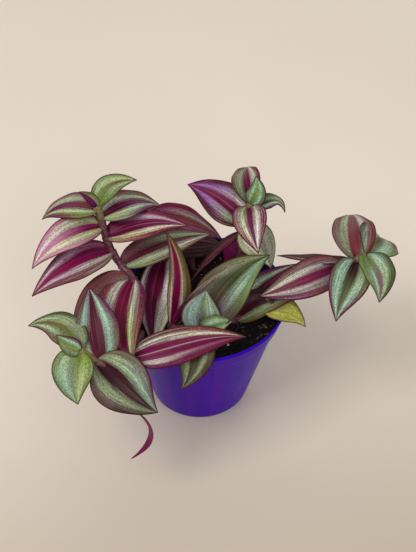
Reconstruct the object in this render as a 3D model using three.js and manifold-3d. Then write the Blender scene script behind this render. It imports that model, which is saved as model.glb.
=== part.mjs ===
// A potted tradescantia: a thin-walled nursery pot filled with soil, and eight leafy stems.
// Millimetres, +Z up. The origin is the middle of the pot's flat base, and the photographed side is -Y.
import * as THREE from "three";
import { mergeVertices } from "three/addons/utils/BufferGeometryUtils.js";
import Module from "manifold-3d";

const wasm = await Module();
wasm.setup();

// Pot
const rimRadius = 51;
const potHeight = 77;
const baseRadius = 30;
const wallThickness = 1.1;
const rimBandHeight = 10;
const rimStep = 1.5; // how far the rim band stands out from the tapered body
const rimFlare = 2.4; // the band widens by this much up to the lip
const footChamfer = 1.3;
const floorThickness = 1.6;
const potSides = 48;
const lipRounding = 0.5;
const drainHoles = { count: 6, radius: 3.4, ringRadius: 19, sides: 16 };

// Soil
const soilDepthBelowRim = 9;
const fitGap = 0.4; // between the soil and the pot
const soilRings = 4;
const soilSides = 24;
const soilRelief = 0.9;

// Stems and leaves
const stemSides = 8;
const stemSteps = 2; // between two points of a stem's path
const buriedLength = 12;
const holeGap = 0.45; // round a stem in the soil
const bladeThickness = 0.8;
const bladeGrid = { rows: 7, columns: 4 };
const budGrid = { rows: 5, columns: 2 };
const widestBud = 13;
const bladeDish = 0.12; // how much a half blade rounds over towards its edge, a share of its width
const sheathHalfWidth = 1.1; // half the width of a leaf where it clasps its stem
const tipHalfWidth = 0.3;
const baseCurve = 0.6; // how bluntly a blade opens out from the stem
const pointCurve = 1.1; // how it narrows to its tip, drawn out a little
const baseFold = 20; // how much further a blade is folded where it clasps its stem, degrees
const joinTolerance = 0.04; // slivers under this size are smoothed out of a leafy stem

// The view in which the plant was measured: the photo's eye point, looking down at the pot.
const view = {
  elevation: THREE.MathUtils.degToRad(44.25),
  distance: 620, // from the middle of the rim, mm
  focalPixels: 1069,
  centre: [208, 276], // the middle of the picture, pixels
  offset: [5.1, 10.7], // what the view's axis passes beside the middle of the rim, mm
};
const viewUp = new THREE.Vector3(0, Math.sin(view.elevation), Math.cos(view.elevation));
const viewToward = new THREE.Vector3(0, -Math.cos(view.elevation), Math.sin(view.elevation));
const backLift = THREE.MathUtils.degToRad(34);
const backToward = new THREE.Vector3(0, Math.cos(backLift), Math.sin(backLift)); // out over the back rim
const rimMiddle = new THREE.Vector3(0, 0, potHeight);

// A point seen at a pixel of the photo, so many millimetres nearer than the middle of the rim.
function seen(across, down, nearer) {
  const scale = (view.distance - nearer) / view.focalPixels;
  const right = (across - view.centre[0]) * scale + view.offset[0];
  const up = (view.centre[1] - down) * scale + view.offset[1];
  return rimMiddle
    .clone()
    .add(new THREE.Vector3(right, 0, 0))
    .addScaledVector(viewUp, up)
    .addScaledVector(viewToward, nearer);
}

// A point on a side that the photo hides, in millimetres.
function spot(x, y, z) {
  return new THREE.Vector3(x, y, z);
}

// Each stem leaves the soil at foot [x, y] and passes through its path.
// A leaf grows at a place along that path: 0 is the foot, 1 the first point of the path, and so on.
// tip: where it ends. width: across the blade, mm. roll: how far its face turns from the viewer, degrees.
// arch and sway: how far the midrib bows, towards its face and sideways, near the stem and near the tip.
// fold: how far each half is raised, degrees. twist: the turn between stem and tip, degrees.
// behind: the leaf faces the back of the pot. A roll, sway or twist left out is nought.
const stems = [
  {
    name: "stem_tall_left",
    colour: 0x5e3a4a,
    radius: 2,
    foot: [-39.3, -4],
    path: [
      seen(134, 281, 13),
      seen(120, 264, 11),
      seen(112, 251, 13),
      seen(106, 237, 15),
      seen(101, 219, 18),
      seen(97, 206, 21),
    ],
    leaves: [
      { at: 6, tip: seen(137, 180, 22), width: 14, roll: -12, arch: [4, 4], sway: [-5, -4], fold: 12 },
      { at: 6, tip: seen(79, 192, 24), width: 7, roll: 10, arch: [1, 1], sway: [1, 1], fold: 20 },
      { at: 5.7, tip: seen(42, 219.5, 15), width: 18, roll: 32, arch: [5, 7], sway: [1, 2], fold: 8 },
      { at: 5.1, tip: seen(161, 206, 7), width: 20.5, roll: -30, arch: [5, 6], sway: [-2, -3], fold: 8 },
      { at: 4.6, tip: seen(32, 269, 28), width: 20, roll: 14, arch: [5, 5], sway: [5, 5], fold: 8 },
      { at: 4, tip: seen(188.5, 226, 14), width: 20, roll: -28, arch: [5, 6], sway: [-2, -2], fold: 6 },
      { at: 3, tip: seen(32, 296.5, 26), width: 22, roll: 22, arch: [5, 4], sway: [2, 3], fold: 8 },
      { at: 1.9, tip: seen(212, 234, -3), width: 20, roll: -28, arch: [5, 5], sway: [-1, -1], fold: 6 },
      { at: 1.1, tip: seen(134, 367, 44.5), width: 31, roll: 14, arch: [2.5, 6], sway: [7, 5], fold: 12 },
      { at: 1.1, tip: seen(76, 344, 20), width: 28, roll: 10, arch: [2, 4], sway: [2, 6], fold: 8 },
    ],
  },
  {
    name: "stem_back_left",
    colour: 0x5a3c48,
    radius: 1.9,
    foot: [-14, 13],
    path: [seen(168, 262, -10), seen(158, 234, -9), seen(151, 214, -7)],
    leaves: [
      { at: 3, tip: seen(222, 239, -18), width: 22, roll: -34, arch: [5, 6], sway: [1, 0], fold: 6 },
      { at: 1.2, tip: seen(154, 348, 23), width: 26.5, roll: 16, arch: [-3, 2], sway: [1, 1.5], fold: 8 },
      { at: 1.5, tip: seen(226, 246, -32), width: 19, roll: -24, arch: [3, 3], fold: 6 },
      { at: 2.6, tip: seen(132, 218, -22), width: 15, roll: 20, arch: [3, 3], fold: 8 },
      { at: 3, tip: spot(-30, 50, 97), width: 16, behind: true, arch: [4, 4], fold: 10 },
    ],
  },
  {
    name: "stem_tall_middle",
    colour: 0x66404f,
    radius: 2,
    foot: [19, 11],
    path: [
      seen(237, 270, -3),
      seen(242, 248, 4),
      seen(246, 228, 9),
      seen(248, 213, 13),
      seen(251, 203, 16),
    ],
    leaves: [
      { at: 3.4, tip: seen(187.5, 184.5, 4), width: 24, roll: 8, arch: [5, 5], sway: [1, 3], fold: 8 },
      { at: 5, tip: seen(247.5, 167, -4), width: 20.5, roll: -10, arch: [5, 5], sway: [-1, 0], fold: 32 },
      { at: 5, tip: seen(256, 175.5, 24), width: 12, arch: [2, 2], sway: [2, 2], fold: 14 },
      { at: 5, tip: seen(285, 212.5, 14), width: 14, roll: -48, arch: [-3, 9], sway: [-1, -4], fold: 10 },
      { at: 4.6, tip: seen(258.5, 253.5, 32), width: 20, roll: 8, arch: [6, 5], sway: [1, 0.5], fold: 10 },
      { at: 3.1, tip: seen(271, 268, 12), width: 20.5, arch: [5, 4], sway: [0, -2], fold: 6 },
      { at: 2.7, tip: seen(191, 281, 0), width: 13, roll: 66, arch: [2, 2], fold: 24 },
      { at: 2, tip: seen(267, 240, -20), width: 16, roll: 20, arch: [4, 4], fold: 8 },
      { at: 1, tip: seen(262, 244, -26), width: 15, arch: [6, 5], fold: 8 },
      { at: 1.2, tip: seen(223, 238, -20), width: 18, roll: 150, arch: [2, 2], fold: 6 },
    ],
  },
  {
    name: "stem_long_right",
    colour: 0x5f4450,
    radius: 1.9,
    foot: [23, 4],
    path: [
      seen(262, 286, -2),
      seen(290, 277, 4),
      seen(320, 271, 14),
      seen(344, 266, 22),
      seen(357, 260, 26),
      seen(366, 255, 27),
    ],
    leaves: [
      { at: 5, tip: seen(350, 215, -8), width: 25, roll: -4, arch: [8, 9], sway: [-1, 0], fold: 8 },
      { at: 6, tip: seen(377, 237, -4), width: 29, roll: -6, arch: [4, 6], sway: [0, 2], fold: 20 },
      { at: 5, tip: seen(336, 321.5, 36), width: 22.5, roll: 4, arch: [5, 5], sway: [0, 2], fold: 8 },
      { at: 6, tip: seen(379, 302.5, 42), width: 22, roll: -20, arch: [4, 4], sway: [-1, -3], fold: 16 },
      { at: 4, tip: seen(258, 296.5, 16), width: 22.5, roll: 14, arch: [4, 4], sway: [0, -2], fold: 8 },
      { at: 4.5, tip: seen(277, 255.5, 3), width: 13, roll: 62, arch: [0, 1], sway: [-1, 0], fold: 8 },
    ],
  },
  {
    name: "stem_front_left",
    colour: 0x5c4a50,
    radius: 1.9,
    foot: [-33, -22],
    path: [
      spot(-32, -36, 80),
      spot(-34, -43, 81.4),
      spot(-37, -51, 79),
      spot(-44, -57, 79),
      spot(-53, -57, 82),
      spot(-63.5, -53.6, 88),
    ],
    leaves: [
      { at: 6, tip: seen(28, 326, 38), width: 20, roll: 32, arch: [4, 5], sway: [6, 6], fold: 8 },
      { at: 6, tip: seen(78, 404.5, 50), width: 24, roll: 4, arch: [4, 4], sway: [3, 2], fold: 16 },
      { at: 6, tip: seen(56.5, 334.5, 50), width: 11, roll: 10, arch: [1, 1], sway: [-1, -1], fold: 20 },
      { at: 5.2, tip: seen(158, 412.5, 38), width: 32, roll: -6, arch: [5, 5], sway: [-1, 2], fold: 8 },
      { at: 4.9, tip: seen(89, 287.5, 30), width: 26.5, arch: [4, 5], sway: [0, 1], fold: 8 },
      {
        at: 4.4,
        tip: seen(131.5, 458.5, 22),
        width: 13.5,
        roll: -84,
        twist: -35,
        arch: [-10, 28],
        fold: 10,
      },
      { at: 3, tip: seen(246, 337, 33), width: 20.5, roll: -10, arch: [6, 5], sway: [0, -4], fold: 6 },
    ],
  },
  {
    name: "stem_low_middle",
    colour: 0x55464a,
    radius: 1.8,
    foot: [-15, -16],
    path: [seen(172, 327, 22), seen(187, 330, 27), seen(203, 330, 30)],
    leaves: [
      { at: 3, tip: seen(270.5, 255, 20), width: 28, roll: -10, arch: [4, 4], sway: [-5, -6], fold: 8 },
      {
        at: 1,
        tip: seen(245, 261, 42),
        width: 10,
        roll: -126,
        twist: 36,
        arch: [4.2, 6.8],
        sway: [-0.7, 2.5],
        fold: 10,
      },
      { at: 3, tip: seen(206.5, 290, 35), width: 22, arch: [1, 1], sway: [-2, -1], fold: 8 },
      { at: 3, tip: seen(233, 321.5, 31), width: 15, roll: 25, arch: [4, 4], sway: [-2, -3], fold: 10 },
      { at: 1, tip: seen(165, 230.5, 26), width: 17, roll: 40, arch: [4, 4], sway: [3, 6], fold: 8 },
      { at: 2.2, tip: seen(181.5, 390, 40), width: 22, arch: [5, 5], sway: [-5, -5], fold: 8 },
    ],
  },
  {
    name: "stem_rim_right",
    colour: 0x5b4a44,
    radius: 1.8,
    foot: [17, -11],
    path: [seen(234, 320, 8), seen(249, 314, 8), seen(264, 307, 10)],
    leaves: [
      { at: 1.1, tip: seen(297, 299.5, 13), width: 17.5, roll: -18, arch: [4, 4], sway: [-4, -4], fold: 8 },
      { at: 1.5, tip: seen(296, 264, 9), width: 21, roll: -20, arch: [3, 3], sway: [-2, -2], fold: 8 },
      { at: 3, tip: seen(305.5, 327, 14), width: 18, roll: -36, arch: [4, 5], sway: [-1, -2], fold: 6 },
    ],
  },
  {
    name: "stem_back_trailing",
    colour: 0x5a4048,
    radius: 1.8,
    foot: [-4, 30],
    path: [spot(-6, 42, 80), spot(-8, 53, 82), spot(-10, 64, 72), spot(-9, 70, 54)],
    leaves: [
      { at: 1.6, tip: spot(-36, 62, 80), width: 18, behind: true, arch: [5, 5], fold: 8 },
      { at: 2.6, tip: spot(12, 77, 42), width: 18, behind: true, arch: [5, 5], fold: 8 },
      { at: 3.2, tip: spot(-36, 80, 46), width: 18, behind: true, arch: [5, 5], fold: 8 },
      { at: 4, tip: spot(-16, 82, 22), width: 19, behind: true, arch: [5, 5], fold: 8 },
      { at: 4, tip: spot(8, 78, 34), width: 12, behind: true, arch: [3, 3], fold: 10 },
    ],
  },
];

// Solids, and the joins and cuts between them

function solidFrom(geometry) {
  const bare = geometry.clone();
  bare.deleteAttribute("normal");
  bare.deleteAttribute("uv");
  const merged = mergeVertices(bare, 1e-4);
  return new wasm.Manifold(
    new wasm.Mesh({
      numProp: 3,
      vertProperties: new Float32Array(merged.attributes.position.array),
      triVerts: new Uint32Array(merged.index.array),
    }),
  );
}

function meshFrom(solid, name, finish) {
  const made = solid.getMesh();
  const geometry = new THREE.BufferGeometry();
  geometry.setAttribute("position", new THREE.BufferAttribute(made.vertProperties, 3));
  geometry.setIndex(new THREE.BufferAttribute(made.triVerts, 1));
  geometry.computeVertexNormals();
  const mesh = new THREE.Mesh(geometry, new THREE.MeshStandardMaterial(finish));
  mesh.name = name;
  return mesh;
}

// A shape turned round the pot's axis, from [radius, height] pairs.
function turned(outline, sides) {
  const points = outline.map(([radius, height]) => new THREE.Vector2(radius, height));
  return new THREE.LatheGeometry(points, sides).rotateX(Math.PI / 2);
}

// A cylinder that stands on end, centred on the origin.
function upright(radius, height, sides) {
  return new THREE.CylinderGeometry(radius, radius, height, sides).rotateX(Math.PI / 2);
}

// Pot

const bodyTop = potHeight - rimBandHeight;
const bandFoot = rimRadius - rimFlare;

function bodyRadius(height) {
  const share = (height - footChamfer) / (bodyTop - footChamfer);
  return THREE.MathUtils.lerp(baseRadius, bandFoot - rimStep, share);
}

function insideRadius(height) {
  if (height < bodyTop) return bodyRadius(height) - wallThickness;
  return THREE.MathUtils.lerp(bandFoot, rimRadius, (height - bodyTop) / rimBandHeight) - wallThickness;
}

function potSolid() {
  const outline = [
    [0, 0],
    [baseRadius - footChamfer, 0],
    [baseRadius, footChamfer],
    [bodyRadius(bodyTop - rimStep), bodyTop - rimStep],
    [bandFoot, bodyTop],
    [rimRadius, potHeight - lipRounding],
    [rimRadius - lipRounding, potHeight],
    [rimRadius - wallThickness, potHeight],
    [insideRadius(bodyTop), bodyTop],
    [insideRadius(bodyTop - rimStep), bodyTop - rimStep],
    [insideRadius(floorThickness), floorThickness],
    [0, floorThickness],
  ];
  let pot = solidFrom(turned(outline, potSides));
  for (let i = 0; i < drainHoles.count; i++) {
    const turn = ((i + 0.5) / drainHoles.count) * 2 * Math.PI;
    const drill = upright(drainHoles.radius, 4 * floorThickness, drainHoles.sides);
    drill.translate(Math.cos(turn) * drainHoles.ringRadius, Math.sin(turn) * drainHoles.ringRadius, 0);
    pot = pot.subtract(solidFrom(drill));
  }
  return pot;
}

// Soil

const soilTop = potHeight - soilDepthBelowRim;

// A gently lumpy surface, falling off to nothing at the pot's wall.
function soilBump(x, y) {
  const lumps = Math.sin(0.31 * x + 0.9) * Math.cos(0.27 * y - 0.4) + 0.6 * Math.sin(0.63 * x - 0.52 * y);
  const edge = 1 - (Math.hypot(x, y) / insideRadius(soilTop)) ** 6;
  return soilRelief * lumps * edge;
}

function soilSolid() {
  const outline = [
    [0, floorThickness + fitGap],
    [insideRadius(floorThickness) - fitGap, floorThickness + fitGap],
    [insideRadius(bodyTop - rimStep) - fitGap, bodyTop - rimStep],
    [insideRadius(bodyTop) - fitGap, bodyTop],
  ];
  for (let ring = 0; ring <= soilRings; ring++) {
    const radius = (insideRadius(soilTop) - fitGap) * Math.sqrt(1 - ring / soilRings);
    outline.push([radius, soilTop]);
  }
  const geometry = turned(outline, soilSides);
  const place = geometry.attributes.position;
  for (let i = 0; i < place.count; i++) {
    if (place.getZ(i) > soilTop - 0.01) {
      place.setZ(i, soilTop + soilBump(place.getX(i), place.getY(i)));
    }
  }
  return solidFrom(geometry);
}

// Stems

// The curve of a stem, from its buried end up. One more point comes before the foot.
function stemCurve(stem) {
  const [x, y] = stem.foot;
  const points = [spot(x, y, soilTop - buriedLength), spot(x, y, soilTop), ...stem.path];
  return new THREE.CatmullRomCurve3(points, false, "catmullrom", 0.5);
}

function alongStem(stem, place) {
  return stemCurve(stem).getPoint((place + 1) / (stem.path.length + 1));
}

function tube(stem, radius) {
  const section = new THREE.Shape();
  for (let side = 0; side < stemSides; side++) {
    const turn = (side / stemSides) * 2 * Math.PI;
    const corner = [radius * Math.cos(turn), radius * Math.sin(turn)];
    if (side === 0) section.moveTo(...corner);
    else section.lineTo(...corner);
  }
  section.closePath();
  return solidFrom(
    new THREE.ExtrudeGeometry(section, {
      steps: stemSteps * (stem.path.length + 1),
      bevelEnabled: false,
      extrudePath: stemCurve(stem),
    }),
  );
}

function stemHole(stem) {
  const radius = stem.radius + holeGap;
  const heelHeight = 3;
  const heel = upright(radius + holeGap / 4, heelHeight, stemSides);
  heel.translate(stem.foot[0], stem.foot[1], soilTop - buriedLength - holeGap + heelHeight / 2);
  return tube(stem, radius).add(solidFrom(heel));
}

// Leaves

// Where the midrib runs, and the blade's own directions there.
function midrib(root, leaf) {
  const chord = leaf.tip.clone().sub(root);
  const axis = chord.clone().normalize();
  const seenFrom = leaf.behind ? backToward : viewToward;
  const face = seenFrom.clone().addScaledVector(axis, -seenFrom.dot(axis)).normalize();
  const { roll = 0, sway = [0, 0], twist = 0 } = leaf;
  face.applyAxisAngle(axis, THREE.MathUtils.degToRad(roll));
  const side = axis.clone().cross(face);
  const bowed = (share, rise, shift) =>
    root
      .clone()
      .addScaledVector(chord, share)
      .addScaledVector(face, (rise * 4) / 3)
      .addScaledVector(side, (shift * 4) / 3);
  const curve = new THREE.CubicBezierCurve3(
    root,
    bowed(1 / 3, leaf.arch[0], sway[0]),
    bowed(2 / 3, leaf.arch[1], sway[1]),
    leaf.tip,
  );
  return (t) => {
    const along = curve.getTangent(t);
    const twisted = face.clone().applyAxisAngle(axis, THREE.MathUtils.degToRad(twist * t));
    const across = along.clone().cross(twisted).normalize();
    return { middle: curve.getPoint(t), across, up: across.clone().cross(along) };
  };
}

function halfWidth(width, t) {
  const peak = baseCurve / (baseCurve + pointCurve);
  const highest = peak ** baseCurve * (1 - peak) ** pointCurve;
  const outline = (t ** baseCurve * (1 - t) ** pointCurve) / highest;
  return (width / 2) * outline + sheathHalfWidth * (1 - t) ** 4 + tipHalfWidth * t ** 6;
}

// One blade: the same grid of points on its face and on its back, and a wall round the edge.
function bladeSolid(root, leaf) {
  const { rows, columns } = leaf.width > widestBud ? bladeGrid : budGrid;
  const place = midrib(root, leaf);
  const points = [];
  for (const depth of [0, bladeThickness]) {
    for (let row = 0; row <= rows; row++) {
      const t = 0.5 - 0.5 * Math.cos((Math.PI * row) / rows);
      const { middle, across, up } = place(t);
      const half = halfWidth(leaf.width, t);
      const fold = THREE.MathUtils.degToRad(leaf.fold + baseFold * (1 - t) ** 3);
      for (let column = 0; column <= columns; column++) {
        const s = (2 * column) / columns - 1;
        const lift = half * (Math.abs(s) * Math.sin(fold) - bladeDish * s * s) - depth;
        points.push(
          middle
            .clone()
            .addScaledVector(across, half * s * Math.cos(fold))
            .addScaledVector(up, lift),
        );
      }
    }
  }
  const geometry = new THREE.BufferGeometry().setFromPoints(points);
  geometry.setIndex(bladeFaces(rows, columns));
  return solidFrom(geometry);
}

function bladeFaces(rows, columns) {
  const faces = [];
  const layer = (rows + 1) * (columns + 1);
  const top = (row, column) => row * (columns + 1) + column;
  for (let row = 0; row < rows; row++) {
    for (let column = 0; column < columns; column++) {
      const [a, b] = [top(row, column), top(row, column + 1)];
      const [c, d] = [top(row + 1, column + 1), top(row + 1, column)];
      faces.push(a, b, c, a, c, d);
      faces.push(layer + a, layer + c, layer + b, layer + a, layer + d, layer + c);
    }
  }
  const wall = (a, b) => faces.push(a, layer + a, layer + b, a, layer + b, b);
  for (let column = 0; column < columns; column++) {
    wall(top(0, column), top(0, column + 1));
    wall(top(rows, column + 1), top(rows, column));
  }
  for (let row = 0; row < rows; row++) {
    wall(top(row + 1, 0), top(row, 0));
    wall(top(row, columns), top(row + 1, columns));
  }
  return faces;
}

// A stem and its leaves as one body. The tiny hollows caught between leaf bases are filled.
function leafyStemSolid(stem) {
  const parts = [tube(stem, stem.radius)];
  for (const leaf of stem.leaves) {
    parts.push(bladeSolid(alongStem(stem, leaf.at), leaf));
  }
  const bodies = wasm.Manifold.union(parts).simplify(joinTolerance).decompose();
  return bodies.reduce((largest, body) => (body.volume() > largest.volume() ? body : largest));
}

// The whole plant

const pottedPlant = new THREE.Group();
pottedPlant.name = "potted_tradescantia";
pottedPlant.add(meshFrom(potSolid(), "pot", { color: 0x4b12a8, roughness: 0.25, metalness: 0 }));

let soil = soilSolid();
for (const stem of stems) {
  soil = soil.subtract(stemHole(stem));
}
pottedPlant.add(meshFrom(soil, "soil", { color: 0x14100e, roughness: 0.95, metalness: 0 }));

const plant = new THREE.Group();
for (const stem of stems) {
  const finish = { color: stem.colour, roughness: 0.5, metalness: 0 };
  plant.add(meshFrom(leafyStemSolid(stem), stem.name, finish));
}
pottedPlant.add(plant);

export default pottedPlant;
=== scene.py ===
import math
import random
import bpy
import bmesh
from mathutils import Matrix, Quaternion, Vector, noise


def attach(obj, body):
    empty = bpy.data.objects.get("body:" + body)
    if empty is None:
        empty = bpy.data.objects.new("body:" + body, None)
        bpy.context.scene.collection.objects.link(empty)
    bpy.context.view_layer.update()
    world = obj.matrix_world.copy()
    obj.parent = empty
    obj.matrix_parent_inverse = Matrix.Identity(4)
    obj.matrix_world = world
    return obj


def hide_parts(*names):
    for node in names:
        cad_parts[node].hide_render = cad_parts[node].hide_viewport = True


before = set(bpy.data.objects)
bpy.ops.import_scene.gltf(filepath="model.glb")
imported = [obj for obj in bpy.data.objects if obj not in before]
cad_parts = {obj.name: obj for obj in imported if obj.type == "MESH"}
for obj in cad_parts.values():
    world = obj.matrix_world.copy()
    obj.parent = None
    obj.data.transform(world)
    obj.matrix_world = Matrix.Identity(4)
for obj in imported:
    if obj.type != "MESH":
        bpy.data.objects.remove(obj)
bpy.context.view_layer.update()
print("frame loaded:", ", ".join(sorted(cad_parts)))

mm = 0.001

# The view in which the plant was measured, from a little right of the pot's axis
view = {
    "elevation": math.radians(44.25),
    "distance": 620,  # from the middle of the rim, mm
    "focalPixels": 1069,
    "centre": (208, 276),  # the middle of the 416 x 552 picture
    "longSide": 552,
    "offset": (5.1, 10.7),  # what the view's axis passes beside the middle of the rim, mm
    "backLift": math.radians(34),  # how far the leaves at the back face up
}

pot = {
    "rimRadius": 51, "height": 77, "baseRadius": 30, "wall": 1.1, "floor": 1.6,
    "bandHeight": 10, "bandStep": 1.5, "bandFlare": 2.4, "lipRounding": 0.5, "footChamfer": 1.3,
    "drainCount": 6, "drainRadius": 3.4, "drainRing": 19, "drainSides": 32,
    "steps": 160,
    "sharpAngle": math.radians(50),
}

viewUp = Vector((0, math.sin(view["elevation"]), math.cos(view["elevation"])))
viewToward = Vector((0, -math.cos(view["elevation"]), math.sin(view["elevation"])))
backToward = Vector((0, math.cos(view["backLift"]), math.sin(view["backLift"])))
rimMiddle = Vector((0, 0, pot["height"]))
soilTop = 68


def seen(across, down, nearer):  # a point at a pixel of the picture, so many mm nearer than the rim's middle
    scale = (view["distance"] - nearer) / view["focalPixels"]
    right = (across - view["centre"][0]) * scale + view["offset"][0]
    up = (view["centre"][1] - down) * scale + view["offset"][1]
    return rimMiddle + Vector((right, 0, 0)) + viewUp * up + viewToward * nearer


def spot(x, y, z):
    return Vector((x, y, z))


def onLevel(across, down, height):  # where the sight line through a pixel meets a level
    near, far = seen(across, down, 60), seen(across, down, -60)
    share = (height - near.z) / (far.z - near.z)
    return near.lerp(far, share)


def hexColour(code):  # a screen colour as a linear one
    parts = [int(code[i:i + 2], 16) / 255 for i in (0, 2, 4)]
    return tuple(p / 12.92 if p < 0.04045 else ((p + 0.055) / 1.055) ** 2.4 for p in parts) + (1,)


def smooth(value, low, high):
    x = min(1, max(0, (value - low) / (high - low)))
    return x * x * (3 - 2 * x)


# Camera and light

studio = {
    "key": {"place": (-0.75, -0.5, 1.25), "size": 0.8, "watts": 12.5, "colour": (1, 0.985, 0.96)},
    "fill": {"place": (0.6, -1.1, 0.95), "size": 1.2, "watts": 9, "colour": (0.96, 0.98, 1)},
    "back": {"place": (0.3, 1.2, 1.0), "size": 1.2, "watts": 5, "colour": (1, 0.99, 0.97)},
    "aim": (0, 0, 0.06),
    "world": (0.86, 0.85, 0.84, 1),
    "worldStrength": 0.44,
    "floorSize": 24,
}


def addObject(name, data):
    made = bpy.data.objects.new(name, data)
    bpy.context.scene.collection.objects.link(made)
    return made


def makeCamera():
    data = bpy.data.cameras.new("camera")
    data.lens = data.sensor_width * view["focalPixels"] / view["longSide"]
    data.clip_start = 0.01
    camera = addObject("camera", data)
    place = rimMiddle + Vector((view["offset"][0], 0, 0)) + viewUp * view["offset"][1]
    camera.location = (place + viewToward * view["distance"]) * mm
    camera.rotation_euler = (math.pi / 2 - view["elevation"], 0, 0)
    bpy.context.scene.camera = camera


def makeLights():
    for name in ("key", "fill", "back"):
        light = studio[name]
        data = bpy.data.lights.new(name, "AREA")
        data.size = light["size"]
        data.energy = light["watts"]
        data.color = light["colour"]
        lamp = addObject(name, data)
        lamp.location = light["place"]
        lamp.rotation_euler = (Vector(studio["aim"]) - lamp.location).to_track_quat("-Z", "Y").to_euler()
    world = bpy.data.worlds.new("studio")
    world.use_nodes = True
    background = world.node_tree.nodes["Background"]
    background.inputs["Color"].default_value = studio["world"]
    background.inputs["Strength"].default_value = studio["worldStrength"]
    bpy.context.scene.world = world
    bpy.context.scene.view_settings.view_transform = "Standard"


# Materials: small helpers, then the shared effects, then each finish

def put(tree, kind, inputs=None, **settings):  # a new node; a text among its inputs is a screen colour
    made = tree.nodes.new("ShaderNode" + kind)
    for name, value in settings.items():
        setattr(made, name, value)
    for socket, value in (inputs or {}).items():
        if isinstance(value, bpy.types.NodeSocket):
            tree.links.new(value, made.inputs[socket])
        else:
            made.inputs[socket].default_value = hexColour(value) if isinstance(value, str) else value
    return made


def calc(tree, operation, a, b=0.0, c=0.0):
    return put(tree, "Math", {0: a, 1: b, 2: c}, operation=operation).outputs[0]


def product(tree, a, b):
    return calc(tree, "MULTIPLY", a, b)


def scaled(tree, value, factor, offset):
    return calc(tree, "MULTIPLY_ADD", value, factor, offset)


def mask(tree, value, low, high):  # 0 below low, 1 above high, smooth between
    inputs = {"Value": value, "From Min": low, "From Max": high}
    return put(tree, "MapRange", inputs, interpolation_type="SMOOTHSTEP").outputs[0]


def opposite(tree, value):
    return calc(tree, "SUBTRACT", 1.0, value)


def mixed(tree, share, a, b, blend="MIX"):
    inputs = {0: share, 6: a, 7: b}
    return put(tree, "Mix", inputs, data_type="RGBA", blend_type=blend, clamp_factor=True).outputs[2]


def laid(tree, where, strength, under, over):  # one colour laid over another, where a mask says
    return mixed(tree, product(tree, where, strength), under, over)


def vectorOf(tree, x, y, z):
    return put(tree, "CombineXYZ", {0: x, 1: y, 2: z}).outputs[0]


def cloudy(tree, vector, scale, detail=3.0, rough=0.55):
    inputs = {"Vector": vector, "Scale": scale, "Detail": detail, "Roughness": rough}
    return put(tree, "TexNoise", inputs).outputs["Fac"]


def newGroup(name, inputs, outputs):  # a number makes a value socket and None a colour socket
    group = bpy.data.node_groups.new(name, "ShaderNodeTree")
    for direction, sockets in (("INPUT", inputs), ("OUTPUT", outputs)):
        for socketName, value in sockets.items():
            kind = "NodeSocketColor" if value is None else "NodeSocketFloat"
            socket = group.interface.new_socket(name=socketName, in_out=direction, socket_type=kind)
            if value is not None:
                socket.default_value = value
    start = group.nodes.new("NodeGroupInput")
    end = group.nodes.new("NodeGroupOutput")
    return group, start.outputs, end.inputs


def useGroup(tree, group, inputs):
    return put(tree, "Group", inputs, node_tree=group).outputs


def newMaterial(name, roughness, specular, tint=(1, 1, 1)):
    material = bpy.data.materials.new(name)
    material.use_nodes = True
    shader = material.node_tree.nodes["Principled BSDF"]
    shader.inputs["Roughness"].default_value = roughness
    shader.inputs["Specular IOR Level"].default_value = specular
    shader.inputs["Specular Tint"].default_value = (*tint, 1)
    return material, material.node_tree, shader


def paint(tree, shader, colour, height, strength, depth):  # the colour, and the fine relief as bump
    tree.links.new(colour, shader.inputs["Base Color"])
    bump = put(tree, "Bump", {"Height": height, "Strength": strength, "Distance": depth})
    tree.links.new(bump.outputs[0], shader.inputs["Normal"])


def grainGroup():  # fine even grain on the object's own coordinates, for any finish
    group, given, out = newGroup("grain", {"Scale": 900.0, "Detail": 2.0}, {"Grain": 0.0})
    place = put(group, "TexCoord").outputs["Object"]
    group.links.new(cloudy(group, place, given["Scale"], given["Detail"]), out["Grain"])
    return group


grain = grainGroup()


def grainOf(tree, scale, detail=2.0):
    return useGroup(tree, grain, {"Scale": scale, "Detail": detail})["Grain"]


def streakGroup():  # lines that run along a leaf or stem: Across -1 to 1, Along 0 to 1
    inputs = {"Across": 0.0, "Along": 0.0, "Seed": 0.0, "Lines": 12.0, "Length": 1.5}
    group, given, out = newGroup("streaks", inputs, {"Streak": 0.0})
    x = product(group, given["Across"], given["Lines"])
    y = product(group, given["Along"], given["Length"])
    z = product(group, given["Seed"], 7.3)
    line = cloudy(group, vectorOf(group, x, y, z), 1.0, 3.0, 0.6)
    group.links.new(line, out["Streak"])
    return group


streaks = streakGroup()


def streakOf(tree, across, along, seed, count, length):
    values = {"Across": across, "Along": along, "Seed": seed, "Lines": count, "Length": length}
    return useGroup(tree, streaks, values)["Streak"]


leafPattern = {
    "broadStray": 0.3,  # how far the edges between the colours stray, broadly and from line to line
    "fineStray": 0.36,
    "narrowing": 0.55,  # of the stripe, from stem to tip
    "tipPull": 0.35,  # of the margins toward the midrib, at the tip
    "worn": 0.6,  # how far the stripe breaks up into lines toward the tip
    "dullBand": (0.72, 0.7, 0.68),
    "clearBand": (1.18, 1.18, 1.15),
    "fringe": 0.5,  # how strongly the stripe and the margin stray into the band
    "streak": (0.16, 0.05, 0.18, 1),
    "hairlines": 0.55,
    "sparkle": 0.42,
    "pits": 0.66,
    "shade": (0.42, 0.36, 0.42),
    "rimWidth": 1.0,  # mm
    "rimColour": (0.05, 0.008, 0.015, 1),
    "saturation": 1.13,
}


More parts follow.
